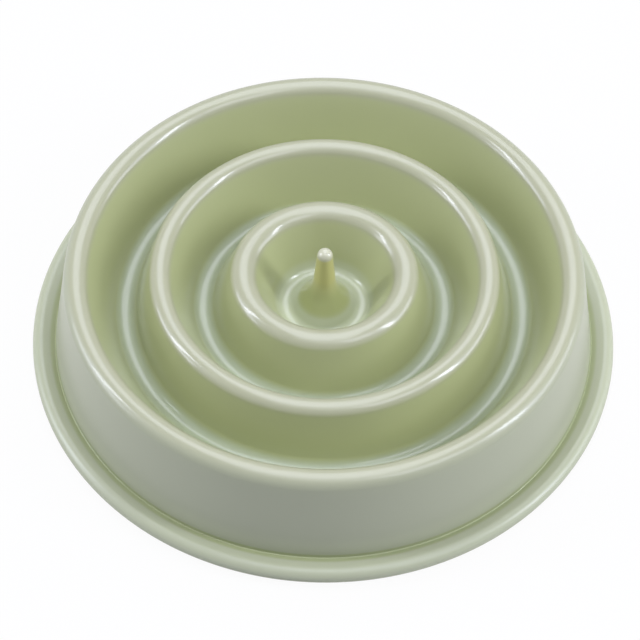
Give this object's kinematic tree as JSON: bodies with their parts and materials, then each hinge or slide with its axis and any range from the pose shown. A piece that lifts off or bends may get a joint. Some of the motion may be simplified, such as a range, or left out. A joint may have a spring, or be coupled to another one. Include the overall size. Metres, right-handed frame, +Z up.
{
  "type": "slow feeder bowl",
  "caption": "Round slow feeder bowl for a dog: concentric ring ridges and a centre spike inside a sloped wall with a beaded base flange, standing on rubber feet.",
  "frame": {"origin": "on the table plane, at the centre of the bowl, level with the bottoms of the feet", "axes": "+Z up along the bowl's turning axis through the spike, -Y towards the camera of the picture, +X to its right"},
  "size_m": [0.21, 0.21, 0.0484],
  "materials": {
    "bowl_plastic": "glossy sage green moulded plastic",
    "foot_rubber": "matte dark grey rubber"
  },
  "bodies": {
    "root": {"bowl_shell": "bowl_plastic", "foot_front_left": "foot_rubber", "foot_front_right": "foot_rubber", "foot_back_left": "foot_rubber", "foot_back_right": "foot_rubber"}
  },
  "joints": []
}
